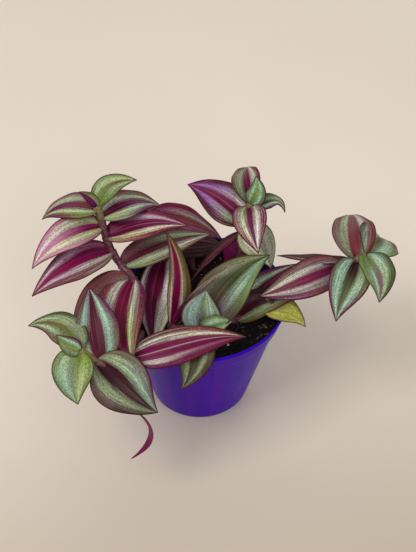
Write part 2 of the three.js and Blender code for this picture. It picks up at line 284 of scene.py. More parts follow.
def leafPatternGroup():
    inputs = {
        "Across": 0.0, "Side": 0.0, "Along": 0.0, "Seed": 0.0, "Stripe": None, "Band": None, "Margin": None,
        "Stripe Half": 0.2, "Band Edge": 0.72, "Streaking": 0.5, "Midline": 0.3, "Half Width": 10.0,
    }
    outputs = {"Color": None, "Roughness": 0.0, "Height": 0.0}
    g, given, out = newGroup("leafPattern", inputs, outputs)
    across, along, seed = given["Across"], given["Along"], given["Seed"]
    stripeTint, bandTint, marginTint = given["Stripe"], given["Band"], given["Margin"]
    away = calc(g, "ABSOLUTE", across)

    def lines(count, length, shift):
        return streakOf(g, across, along, calc(g, "ADD", seed, shift), count, length)

    def times(colour, factor):
        return mixed(g, 1.0, colour, (*factor, 1), "MULTIPLY")

    broad = lines(5.0, 1.4, 0.0)
    veins = lines(9.0, 1.1, 1.7)
    middling = lines(17.0, 1.6, 3.1)
    fine = lines(38.0, 2.2, 5.7)
    speck = grainOf(g, 1250.0, 3.0)
    patch = grainOf(g, 90.0)

    # Where the stripe ends and the margin starts, ragged along the veins
    broadStray, fineStray = leafPattern["broadStray"], leafPattern["fineStray"]
    wander = scaled(g, broad, broadStray, -broadStray / 2)
    jitter = scaled(g, middling, fineStray, -fineStray / 2)
    ragged = calc(g, "ADD", away, calc(g, "ADD", wander, jitter))
    stripeEdge = product(g, given["Stripe Half"], scaled(g, along, -leafPattern["narrowing"], 1.2))
    fromStripe = calc(g, "SUBTRACT", ragged, stripeEdge)
    stripe = opposite(g, mask(g, fromStripe, -0.03, 0.05))
    worn = product(g, mask(g, veins, 0.5, 0.64), mask(g, along, 0.15, 0.9))
    stripe = product(g, stripe, scaled(g, worn, -leafPattern["worn"], 1.0))
    tipPull = product(g, calc(g, "POWER", along, 4.0), leafPattern["tipPull"])
    marginEdge = calc(g, "SUBTRACT", given["Band Edge"], tipPull)
    fromMargin = calc(g, "SUBTRACT", ragged, marginEdge)
    margin = mask(g, fromMargin, -0.08, 0.1)

    # The band: brightest along its middle, streaked darker, with fine sparkle and pits
    middle = product(g, calc(g, "ADD", stripeEdge, marginEdge), 0.5)
    fromMiddle = calc(g, "ABSOLUTE", calc(g, "SUBTRACT", ragged, middle))
    dull, clear = times(bandTint, leafPattern["dullBand"]), times(bandTint, leafPattern["clearBand"])
    band = mixed(g, mask(g, fromMiddle, 0.28, 0.0), dull, clear)
    band = laid(g, opposite(g, mask(g, fromStripe, 0.0, 0.2)), leafPattern["fringe"], band, stripeTint)
    band = laid(g, mask(g, fromMargin, -0.26, 0.02), leafPattern["fringe"], band, marginTint)
    streak = mixed(g, 0.4, mixed(g, 0.5, marginTint, stripeTint), leafPattern["streak"])
    streaked = calc(g, "MAXIMUM", mask(g, veins, 0.52, 0.62), mask(g, middling, 0.53, 0.61))
    band = laid(g, streaked, given["Streaking"], band, streak)
    hairline = product(g, mask(g, fine, 0.48, 0.6), leafPattern["hairlines"])
    band = mixed(g, hairline, band, times(band, (0.4, 0.4, 0.34)))
    sparkle = product(g, mask(g, speck, 0.5, 0.64), leafPattern["sparkle"])
    band = mixed(g, sparkle, band, times(band, (1.5, 1.5, 1.5)))
    band = laid(g, mask(g, speck, 0.5, 0.38), leafPattern["pits"], band, times(band, (0.45, 0.38, 0.42)))

    # The stripe and the margins, each lined along the veins
    shaded, lifted = times(stripeTint, leafPattern["shade"]), times(stripeTint, (1.9, 1.7, 2.1))
    stripeColour = laid(g, mask(g, veins, 0.5, 0.38), 0.8, stripeTint, shaded)
    stripeColour = laid(g, mask(g, middling, 0.54, 0.66), 0.42, stripeColour, lifted)
    stripeColour = mixed(g, hairline, stripeColour, shaded)
    stripeColour = laid(g, sparkle, 0.5, stripeColour, lifted)
    darker, paler = times(marginTint, (0.42, 0.36, 0.4)), mixed(g, 0.45, marginTint, bandTint)
    marginColour = laid(g, mask(g, middling, 0.48, 0.6), 0.65, marginTint, darker)
    marginColour = laid(g, mask(g, veins, 0.52, 0.64), 0.6, marginColour, paler)
    marginColour = laid(g, sparkle, 0.4, marginColour, times(paler, (1.3, 1.3, 1.3)))

    # All of it together, with the midline, the dark rim and the darker foot
    colour = mixed(g, stripe, mixed(g, margin, band, marginColour), stripeColour)
    midline = opposite(g, mask(g, away, 0.014, 0.055))
    colour = laid(g, midline, given["Midline"], colour, mixed(g, 0.4, bandTint, stripeTint))
    inward = product(g, opposite(g, calc(g, "ABSOLUTE", given["Side"])), given["Half Width"])
    rim = mask(g, inward, leafPattern["rimWidth"], leafPattern["rimWidth"] / 2)
    colour = laid(g, rim, 0.85, colour, mixed(g, 0.65, darker, leafPattern["rimColour"]))
    colour = laid(g, opposite(g, mask(g, along, 0.0, 0.1)), 0.45, colour, shaded)
    toned = {"Color": colour, "Saturation": leafPattern["saturation"], "Value": scaled(g, patch, 0.4, 0.8)}
    tone = put(g, "HueSaturation", toned).outputs[0]

    groove = opposite(g, mask(g, away, 0.0, 0.06))
    height = scaled(g, fine, 0.55, product(g, middling, 0.5))
    height = scaled(g, speck, 0.3, height)
    g.links.new(tone, out["Color"])
    g.links.new(scaled(g, fine, 0.22, 0.3), out["Roughness"])
    g.links.new(scaled(g, groove, -0.8, height), out["Height"])
    return g


def attribute(tree, name, output="Color"):
    return put(tree, "Attribute", attribute_name=name).outputs[output]


def leafCoordinates(tree):  # -1 to 1 from side to side, 0 to 1 from stem to tip
    place = put(tree, "SeparateXYZ", {0: put(tree, "UVMap", uv_map="blade").outputs[0]}).outputs
    return scaled(tree, place[0], 2.0, -1.0), place[1]


def leafFaceMaterial():
    material, tree, shader = newMaterial("leafFace", 0.45, 0.34, (0.56, 0.46, 0.48))
    shape = put(tree, "SeparateColor", {0: attribute(tree, "leafShape")}).outputs
    habit = put(tree, "SeparateColor", {0: attribute(tree, "leafHabit")}).outputs
    side, along = leafCoordinates(tree)
    values = {
        "Across": calc(tree, "SUBTRACT", side, scaled(tree, habit[1], 2.0, -1.0)),
        "Side": side,
        "Along": along,
        "Seed": product(tree, habit[0], 40.0),
        "Stripe": attribute(tree, "stripeTint"),
        "Band": attribute(tree, "bandTint"),
        "Margin": attribute(tree, "marginTint"),
        "Stripe Half": shape[0],
        "Band Edge": shape[1],
        "Streaking": shape[2],
        "Midline": habit[2],
        "Half Width": product(tree, attribute(tree, "leafShape", "Alpha"), blade["widest"]),
    }
    result = useGroup(tree, leafPatternGroup(), values)
    tree.links.new(result["Roughness"], shader.inputs["Roughness"])
    paint(tree, shader, result["Color"], result["Height"], 0.55, 0.00022)
    return material


def leafBackMaterial():
    material, tree, shader = newMaterial("leafBack", 0.42, 0.3, (0.8, 0.35, 0.6))
    across, along = leafCoordinates(tree)
    line = streakOf(tree, across, along, 2.0, 22.0, 1.0)
    speck = grainOf(tree, 1100.0)
    colour = mixed(tree, mask(tree, line, 0.35, 0.7), "4E0834", "861658")
    colour = laid(tree, mask(tree, speck, 0.5, 0.7), 0.25, colour, "6E2A50")
    pale = product(tree, attribute(tree, "leafHabit", "Alpha"), mask(tree, line, 0.6, 0.4))
    colour = mixed(tree, pale, colour, attribute(tree, "bandTint"))
    colour = laid(tree, mask(tree, calc(tree, "ABSOLUTE", across), 0.8, 1.0), 0.5, colour, "3C0A22")
    paint(tree, shader, colour, line, 0.5, 0.0002)
    return material


def stalkMaterial(name):  # for the stems and for their sheaths; young growth is greener
    material, tree, shader = newMaterial(name, 0.42, 0.35)
    across, along = leafCoordinates(tree)
    line = streakOf(tree, across, along, 9.0, 9.0, 4.0)
    speck = grainOf(tree, 700.0)
    colour = mixed(tree, mask(tree, line, 0.4, 0.68), "4A142A", "74404C")
    colour = laid(tree, mask(tree, speck, 0.5, 0.68), 0.25, colour, "6E6440")
    colour = laid(tree, attribute(tree, "young", "Fac"), 0.65, colour, "7E7C46")
    paint(tree, shader, colour, line, 0.5, 0.00025)
    return material


def potMaterial():  # moulded plastic with faint lighter streaks that run round and down the wall, and lighter patches: both painted sheen
    material, tree, shader = newMaterial("potPlastic", 0.3, 0.08, (0.3, 0.08, 0.75))
    place = put(tree, "SeparateXYZ", {0: put(tree, "TexCoord").outputs["Object"]}).outputs
    turn = calc(tree, "ARCTAN2", place[1], place[0])
    sheenStreaks = cloudy(tree, vectorOf(tree, product(tree, turn, 2.2), 0.0, place[2]), 2.5, 3.0)
    fine = grainOf(tree, 420.0, 4.0)
    broad = grainOf(tree, 30.0)
    # painted sheen: lighter violet streaks that run down the wall, spaced round it
    colour = mixed(tree, mask(tree, sheenStreaks, 0.35, 0.7), "36049A", "4C08A2")
    # painted sheen: lighter violet patches; the same patches also vary the roughness
    colour = laid(tree, mask(tree, broad, 0.45, 0.7), 0.35, colour, "5A12AA")
    lipFoot = (pot["height"] - 1.8) * mm
    colour = mixed(tree, mask(tree, place[2], lipFoot, lipFoot + mm), colour, "300AA8")  # the lip
    rough = scaled(tree, mask(tree, broad, 0.5, 0.75), 0.12, scaled(tree, fine, 0.14, 0.24))
    tree.links.new(rough, shader.inputs["Roughness"])
    # the same streaks, with the fine grain, also make the faint relief
    paint(tree, shader, colour, scaled(tree, sheenStreaks, 1.5, fine), 0.25, 0.0001)
    return material


def soilMaterial():
    material, tree, shader = newMaterial("pottingMix", 0.9, 0.25)
    clump = grainOf(tree, 260.0, 5.0)
    speck = grainOf(tree, 1300.0, 3.0)
    colour = mixed(tree, mask(tree, clump, 0.35, 0.7), "060404", "1C1410")
    colour = laid(tree, mask(tree, speck, 0.62, 0.72), 0.5, colour, "5A4636")
    paint(tree, shader, colour, calc(tree, "ADD", clump, speck), 0.9, 0.0006)
    return material


def fleckMaterial(name, dark, light, roughness=0.8):
    material, tree, shader = newMaterial(name, roughness, 0.3)
    speck = grainOf(tree, 800.0, 4.0)
    paint(tree, shader, mixed(tree, mask(tree, speck, 0.35, 0.65), dark, light), speck, 0.6, 0.0003)
    return material


def floorMaterial():  # painted shade: a little darker toward the viewer and to the right
    material, tree, shader = newMaterial("paleFloor", 0.75, 0.15)
    place = put(tree, "SeparateXYZ", {0: put(tree, "TexCoord").outputs["Object"]}).outputs
    nearness = scaled(tree, place[1], -1.0, product(tree, place[0], 0.25))
    colour = mixed(tree, grainOf(tree, 5.0), "E2D5C6", "E8DCCE")
    # painted shade, darker toward the viewer and to the right
    colour = mixed(tree, mask(tree, nearness, -0.1, 0.22), colour, "BAAC9A")
    tree.links.new(colour, shader.inputs["Base Color"])
    return material


# Pieces: shared making

def finishPiece(bm, name, materials, nodes=(), flat=False, closed=True):
    if closed:  # all faces outward
        bmesh.ops.recalc_face_normals(bm, faces=bm.faces[:])
    mesh = bpy.data.meshes.new(name)
    bm.to_mesh(mesh)
    bm.free()
    mesh.polygons.foreach_set("use_smooth", [not flat] * len(mesh.polygons))
    for material in materials:
        mesh.materials.append(material)
    piece = addObject(name, mesh)
    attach(piece, "root")
    if nodes:
        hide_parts(*nodes)
    return piece


def gridInto(bm, columns, rows):  # a new grid and its corners as (vertex, across 0 to 1, along 0 to 1)
    made = bmesh.ops.create_grid(bm, x_segments=columns, y_segments=rows, size=0.5, calc_uvs=False)
    return [(v, v.co.x + 0.5, v.co.y + 0.5) for v in made["verts"]]


def closeTube(bm, placed, gap):  # joins a rolled grid's long edges, and its ends where they are points
    bmesh.ops.remove_doubles(bm, verts=[v for v, _, _ in placed], dist=gap * mm)


# Pot

bodyTop = pot["height"] - pot["bandHeight"]
bandFoot = pot["rimRadius"] - pot["bandFlare"]


def bodyRadius(height):
    share = (height - pot["footChamfer"]) / (bodyTop - pot["footChamfer"])
    return pot["baseRadius"] + (bandFoot - pot["bandStep"] - pot["baseRadius"]) * share


def insideRadius(height):
    if height < bodyTop:
        return bodyRadius(height) - pot["wall"]
    return bandFoot + pot["bandFlare"] * (height - bodyTop) / pot["bandHeight"] - pot["wall"]


def potOutline():  # (radius, height) from the middle of the base, up the outside and down the inside
    rim, top, base, wall = pot["rimRadius"], pot["height"], pot["baseRadius"], pot["wall"]
    lip, step, chamfer, floor = pot["lipRounding"], pot["bandStep"], pot["footChamfer"], pot["floor"]
    return [
        (0, 0), (base - chamfer - 0.3, 0), (base - chamfer, 0.05),
        (base - 0.35, chamfer * 0.6), (bodyRadius(chamfer), chamfer),
        *[(bodyRadius(h), h) for h in (chamfer + 0.8, 20, 40, 58, bodyTop - step - 0.6, bodyTop - step)],
        (bandFoot - 0.25, bodyTop - 0.25), (bandFoot, bodyTop + 0.25), (bandFoot + 0.12, bodyTop + 0.8),
        (rim - 0.42, top - 1.9), (rim, top - 1.7), (rim, top - lip), (rim - 0.15, top - 0.15),
        (rim - lip, top), (rim - wall + 0.2, top), (rim - wall, top - 0.25),
        *[(insideRadius(h), h) for h in (top - 2, bodyTop + 0.3, bodyTop - step, 30)],
        (insideRadius(floor + 1) - 0.4, floor + 0.4), (0, floor),
    ]


def makePot(material):
    bm = bmesh.new()
    corners = [bm.verts.new((r * mm, 0, z * mm)) for r, z in potOutline()]
    edges = [bm.edges.new(pair) for pair in zip(corners, corners[1:])]
    bmesh.ops.spin(
        bm, geom=corners + edges, cent=(0, 0, 0), axis=(0, 0, 1), angle=math.tau,
        steps=pot["steps"], use_merge=True,
    )
    bmesh.ops.remove_doubles(bm, verts=bm.verts[:], dist=0.01 * mm)
    piece = finishPiece(bm, "potShell", [material], ["pot"])
    drill = bmesh.new()
    radius = pot["drainRadius"] * mm
    for i in range(pot["drainCount"]):
        turn = (i + 0.5) / pot["drainCount"] * math.tau
        made = bmesh.ops.create_cone(
            drill, cap_ends=True, segments=pot["drainSides"], depth=4 * pot["floor"] * mm,
            radius1=radius, radius2=radius,
        )
        place = spot(math.cos(turn), math.sin(turn), 0) * pot["drainRing"] * mm
        bmesh.ops.translate(drill, verts=made["verts"], vec=place)
    mesh = bpy.data.meshes.new("drill")
    drill.to_mesh(mesh)
    drill.free()
    cutter = addObject("drill", mesh)
    cut = piece.modifiers.new("drains", "BOOLEAN")
    cut.object = cutter
    cut.operation = "DIFFERENCE"
    cut.solver = "EXACT"
    evaluated = piece.evaluated_get(bpy.context.evaluated_depsgraph_get())
    drilled = bpy.data.meshes.new_from_object(evaluated)
    piece.modifiers.clear()
    piece.data = drilled
    bpy.data.objects.remove(cutter)
    drilled.set_sharp_from_angle(angle=pot["sharpAngle"])


# Soil

soil = {
    "gap": 0.4,  # to the pot's wall
    "relief": 0.9, "lumps": 1.5, "divisions": 150,
    "crumbs": 2600, "perlite": 46, "bark": 110, "fibres": 34,
    # Those that stand out in the picture, by their pixels and sizes, and the chip that sticks to the wall
    "whiteGrain": (228, 345.6),
    "chips": [
        (265.7, 328, 1.5), (270.7, 327, 0.8), (264.8, 335, 0.9), (252.5, 343, 0.6), (263.2, 325.5, 0.9),
    ],
    "threads": [
        (214, 352, 231, 339, 0.14), (256.5, 340, 262.5, 333.5, 0.35), (235.5, 332, 242, 322, 0.12),
    ],
    "wallChip": (8.5, -43.95, 57.6),
}


def soilHeight(x, y):  # mm above the soil's level; the broad lumps are those of the solid soil
    broad = math.sin(0.31 * x + 0.9) * math.cos(0.27 * y - 0.4) + 0.6 * math.sin(0.63 * x - 0.52 * y)
    clod = noise.fractal(Vector((x * 0.22, y * 0.22, 3.7)), 0.8, 2.1, 5)
    pebble = noise.noise(Vector((x * 1.1, y * 1.1, 9.2)))
    edge = 1 - (math.hypot(x, y) / insideRadius(soilTop)) ** 6
    return (soil["relief"] * broad + soil["lumps"] * clod + 0.25 * pebble - 0.4) * max(0, edge)


def onSoil(x, y, above=0.0):
    return Vector((x, y, soilTop + soilHeight(x, y) + above))


def makeSoil(material):
    bm = bmesh.new()
    side = soil["divisions"]
    reach = insideRadius(soilTop) - soil["gap"]
    for vertex, u, v in gridInto(bm, side, side):  # the square grid, rounded to a disc
        u, v = 2 * u - 1, 2 * v - 1
        x = u * math.sqrt(1 - v * v / 2) * reach
        y = v * math.sqrt(1 - u * u / 2) * reach
        vertex.co = onSoil(x, y) * mm
    edges = [e for e in bm.edges if e.is_boundary]
    previous = reach
    for height in (bodyTop, bodyTop - pot["bandStep"], pot["floor"] + soil["gap"]):
        radius = insideRadius(max(height, pot["floor"] + 1)) - soil["gap"]
        made = bmesh.ops.extrude_edge_only(bm, edges=edges)["geom"]
        edges = [g for g in made if isinstance(g, bmesh.types.BMEdge) and g.is_boundary]
        for vertex in {v for e in edges for v in e.verts}:
            vertex.co.x *= radius / previous
            vertex.co.y *= radius / previous
            vertex.co.z = height * mm
        previous = radius
    bmesh.ops.holes_fill(bm, edges=edges, sides=0)
    finishPiece(bm, "soilBed", [material], ["soil"])


def scatterPlace(draw, reach=0.97):
    radius = math.sqrt(draw.random()) * (insideRadius(soilTop) - soil["gap"]) * reach
    turn = draw.random() * math.tau
    return onSoil(radius * math.cos(turn), radius * math.sin(turn))


def addLump(bm, place, size, stretch, draw, detail=1):
    made = bmesh.ops.create_icosphere(bm, subdivisions=detail, radius=size * mm)["verts"]
    turn = Quaternion([draw.gauss(0, 1) for _ in range(4)]).normalized()
    for vertex in made:
        shape = Vector(a * b for a, b in zip(vertex.co, stretch)) * draw.uniform(0.75, 1.2)
        vertex.co = turn @ shape + place * mm


def makeCrumbs(crumb, perlite, bark):
    draw = random.Random(11)
    bm = bmesh.new()
    for _ in range(soil["crumbs"]):
        size = draw.uniform(0.25, 0.9) if draw.random() < 0.9 else draw.uniform(0.9, 1.6)
        stretch = (1, draw.uniform(0.6, 1), draw.uniform(0.5, 0.9))
        addLump(bm, scatterPlace(draw), size, stretch, draw)
    finishPiece(bm, "soilCrumbs", [crumb], flat=True)
    bm = bmesh.new()
    addLump(bm, onLevel(*soil["whiteGrain"], soilTop) + spot(0, 0, 0.6), 0.8, (1, 0.9, 0.8), draw, 2)
    for _ in range(soil["perlite"]):
        place = scatterPlace(draw) - spot(0, 0, draw.uniform(0, 0.5))
        addLump(bm, place, draw.uniform(0.25, 0.6), (1, 0.9, 0.8), draw, 2)
    finishPiece(bm, "soilPerlite", [perlite])
    bm = bmesh.new()
    for across, down, size in soil["chips"]:
        addLump(bm, onLevel(across, down, soilTop) + spot(0, 0, 0.5), size, (1, 0.7, 0.4), draw)
    addLump(bm, spot(*soil["wallChip"]), 0.7, (1, 0.6, 0.6), draw)
    for _ in range(soil["bark"]):
        addLump(bm, scatterPlace(draw), draw.uniform(0.4, 1.4), (1, 0.5, 0.28), draw)
    finishPiece(bm, "soilBark", [bark], flat=True)


def addThread(bm, path, radius, sides=5):  # a thin closed tube through a few points
    last = len(path) - 1
    placed = gridInto(bm, sides, last)
    for vertex, across, along in placed:
        step = min(last, round(along * last))
        ahead = (path[min(last, step + 1)] - path[max(0, step - 1)]).normalized()
        side = ahead.orthogonal().normalized()
        turn = Quaternion(ahead, across * math.tau)
        width = radius if 0 < step < last else 0
        vertex.co = (path[step] + turn @ side * width) * mm
    closeTube(bm, placed, 0.002)


def makeFibres(material):
    draw = random.Random(23)
    bm = bmesh.new()
    for *ends, radius in soil["threads"]:
        a, b = onLevel(*ends[:2], soilTop), onLevel(*ends[2:], soilTop)
        path = [a.lerp(b, i / 8) for i in range(9)]
        addThread(bm, [onSoil(p.x, p.y, 0.5 + 0.5 * math.sin(i * 0.9)) for i, p in enumerate(path)], radius)
    for _ in range(soil["fibres"]):
        place = scatterPlace(draw, 0.85)
        turn, bend = draw.random() * math.tau, draw.uniform(-0.35, 0.35)
        path = []
        for _ in range(draw.randint(6, 12)):
            place = place + spot(math.cos(turn), math.sin(turn), 0) * 0.9
            turn += bend + draw.uniform(-0.2, 0.2)
            if math.hypot(place.x, place.y) > insideRadius(soilTop) - 1.5:
                break
            path.append(onSoil(place.x, place.y, 0.35))
        if len(path) > 3:
            addThread(bm, path, draw.uniform(0.07, 0.16))
    finishPiece(bm, "soilFibres", [material])


# Leaves and stems. A look names the colours of the stripe, and of the bands and the margins on both sides of
# it. "wine-rose" goes from wine at the stem to rose at the tip, and " / " stands between the two sides: for a
# leaf that points right, the upper one and then the lower. The numbers say how far out the stripe and the
# bands reach, from 0 to 1, and how streaked the bands are.

tints = {
    "oxblood": "300A16", "maroon": "4C1226", "burgundy": "6A2039", "crimson": "761040", "wine": "66143C",
    "magenta": "761C56", "pink": "A24C76", "rose": "B87C96", "plum": "602048", "mauve": "8A586A",
    "brown": "5C3834", "rust": "6E3A3E", "umber": "38221F", "clay": "9C7062", "tan": "9A8A70",
    "taupe": "6E5E54", "olive": "6E6C32", "khaki": "62522F", "ivy": "3A381C", "pine": "48532F",
    "green": "6A7F42", "lime": "80944C", "straw": "B4B466", "moss": "828F70", "sage": "9DB08A",
    "celery": "B0C08C", "cream": "D2D2B8", "mint": "9CBBA2", "aqua": "84A096", "silver": "C2C4B6",
    "ash": "8F9184", "lilac": "B8A6B4", "white": "E2E2D8", "violet": "9A6EAC",
}


def look(stripe, bands, margins, half, edge, streaks, midline=0.05, shift=0.0, paleBack=0.0):
    return {
        "stripe": stripe, "bands": bands, "margins": margins, "half": half, "edge": edge, "streaks": streaks,
        "midline": midline, "shift": shift, "paleBack": paleBack,
    }


looks = {
    "tipLeaf": look("green-khaki", "sage-celery / green-sage", "green", 0.1, 0.86, 0.4),
    "tipBud": look("plum", "plum / moss-green", "plum / olive", 0.1, 0.6, 0.6),
    "leftYoung": look(
        "rust-plum", "sage-celery / ash-sage", "olive-plum / rust-mauve", 0.2, 0.76, 0.3, shift=0.1,
    ),
    "rightMint": look(
        "maroon-plum", "silver-sage / celery-mint", "burgundy-rust / moss-plum", 0.22, 0.7, 0.4,
    ),
    "leftPink": look(
        "wine-rose", "celery-cream / celery-white", "mauve-rose / burgundy-rose", 0.2, 0.74, 0.4,
    ),
    "rightCream": look(
        "wine", "maroon-lilac / celery-cream", "burgundy / clay-burgundy", 0.3, 0.7, 0.5, midline=0.4,
    ),
    "leftViolet": look(
        "wine-crimson", "silver-lilac / mauve-lilac", "brown-rust / burgundy-rust",
        0.28, 0.72, 0.75, shift=0.12,
    ),
    "rightBrown": look("maroon-brown", "brown-sage / sage-silver", "brown / olive-khaki", 0.16, 0.84, 0.6),
    "frontMaroon": look(
        "burgundy", "silver-celery / silver-mauve", "plum-rust / rust-burgundy", 0.26, 0.68, 0.5,
    ),
    "leftBrown": look("brown", "clay / taupe", "brown / rust", 0.14, 0.6, 0.4),
    "backBrown": look("rust", "mauve-ash / rust-mauve", "burgundy / rust", 0.2, 0.7, 0.6),
    "frontPlum": look(
        "wine-burgundy", "white / white-lilac", "cream / olive-khaki",
        0.34, 0.88, 0.35, midline=0.1, shift=0.32,
    ),
    "shade": look("maroon", "taupe / umber", "umber", 0.25, 0.55, 0.7),
    "burgundyGreen": look("burgundy", "sage / ash", "burgundy", 0.2, 0.66, 0.4),
    "midViolet": look("wine-burgundy", "sage-violet / silver-violet", "maroon", 0.24, 0.72, 0.4, midline=0.3),
    "topPlum": look("plum-burgundy", "moss-sage / ash-silver", "pine-brown / burgundy", 0.22, 0.78, 0.45),
    "topBud": look("lime", "mint", "green / pine", 0.12, 0.78, 0.6),
    "sideGreen": look("umber-khaki", "moss-sage / mint", "pine / plum", 0.12, 0.74, 0.4),
    "midMauve": look(
        "burgundy-plum", "silver-white / sage-cream", "burgundy / mauve-burgundy", 0.17, 0.72, 0.5,
    ),
    "midGreen": look("moss", "silver-ash / cream", "sage / celery", 0.06, 0.9, 0.25),
    "thinBrown": look("umber", "tan / rust", "burgundy / umber", 0.2, 0.6, 0.7),
    "darkMagenta": look("maroon", "brown", "maroon", 0.2, 0.6, 0.5),
    "rightBurgundy": look("rust", "moss-sage / ash-silver", "taupe-rust / rust", 0.23, 0.7, 0.4),
    "rightYoung": look("green-ivy", "mint / mint-sage", "ivy-plum / green-brown", 0.13, 0.82, 0.45),
    "rightOlive": look("oxblood-pine", "sage-mint / mint", "olive-plum / pine-plum", 0.18, 0.84, 0.45),
    "rightGreen": look("green-mauve", "mint-sage / green-mint", "pine / green", 0.07, 0.74, 0.5),
    "lowLilac": look("wine-burgundy", "ash-silver", "rust-plum / rust-brown", 0.2, 0.68, 0.55),
    "frontOlive": look("green-khaki", "moss-sage", "olive-plum / pine", 0.15, 0.84, 0.4),
    "frontLime": look("green-moss", "lime-celery / sage-mint", "green", 0.07, 0.9, 0.35),
    "frontBud": look("lime", "moss / mint", "green / plum", 0.14, 0.76, 0.5),
    "frontDark": look(
        "oxblood-umber", "sage-mint / moss", "khaki-plum / brown-umber", 0.22, 0.86, 0.6, midline=0.0,
    ),
    "frontMint": look("maroon", "moss-aqua / aqua-mint", "umber-brown / khaki-plum", 0.26, 0.8, 0.5),
    "hanging": look("magenta", "wine / magenta", "wine / magenta", 0.3, 0.7, 0.5),
    "frontDouble": look(
        "wine", "silver-cream / silver-mauve", "brown-rust / plum-burgundy", 0.36, 0.72, 0.8, midline=0.6,
    ),
    "wideDark": look(
        "oxblood-pine", "umber-moss / umber-mint", "olive / umber-green", 0.22, 0.84, 0.6, shift=-0.1,
    ),
    "thinPink": look("pink", "magenta-cream / cream", "magenta / pink", 0.3, 0.7, 0.4, paleBack=1.0),
    "lowMint": look("plum-green", "aqua / aqua-mint", "ash / moss", 0.05, 0.9, 0.6),
    "smallLime": look("green", "mint / sage", "green / olive", 0.08, 0.8, 0.3),
    "crimson": look("crimson", "cream-tan", "clay-khaki / khaki", 0.3, 0.7, 0.55, shift=-0.2),
    "rimOlive": look("ivy", "moss", "khaki-umber / pine", 0.26, 0.7, 0.6),
    "rimDark": look("maroon-umber", "umber-taupe / sage-moss", "umber / olive-khaki", 0.2, 0.74, 0.5),
    "rimSilver": look("umber-burgundy", "silver-mint / moss-sage", "pine-plum / umber", 0.24, 0.76, 0.6),
    "rimYellow": look("straw", "straw", "olive / straw", 0.06, 0.88, 0.15),
}


# A leaf: where it starts on its stem (0 at the soil, 1 at the path's first point), its tip, its width in mm
# and its look. It is rolled about its length and twisted on toward its tip, in degrees. At its thirds it bows
# toward the viewer (arch) and aside (sway), in mm, and each half is folded up by so many degrees.
def leaf(at, tip, width, lookName, roll=0, arch=(5, 5), sway=(0, 0), fold=8, twist=0, behind=False):
    return {
        "at": at, "tip": tip, "width": width, "look": lookName, "roll": roll, "arch": arch, "sway": sway,
        "fold": fold, "twist": twist, "behind": behind,
    }


def stem(radius, foot, path, leaves):
    return {"radius": radius, "foot": foot, "path": path, "leaves": leaves}


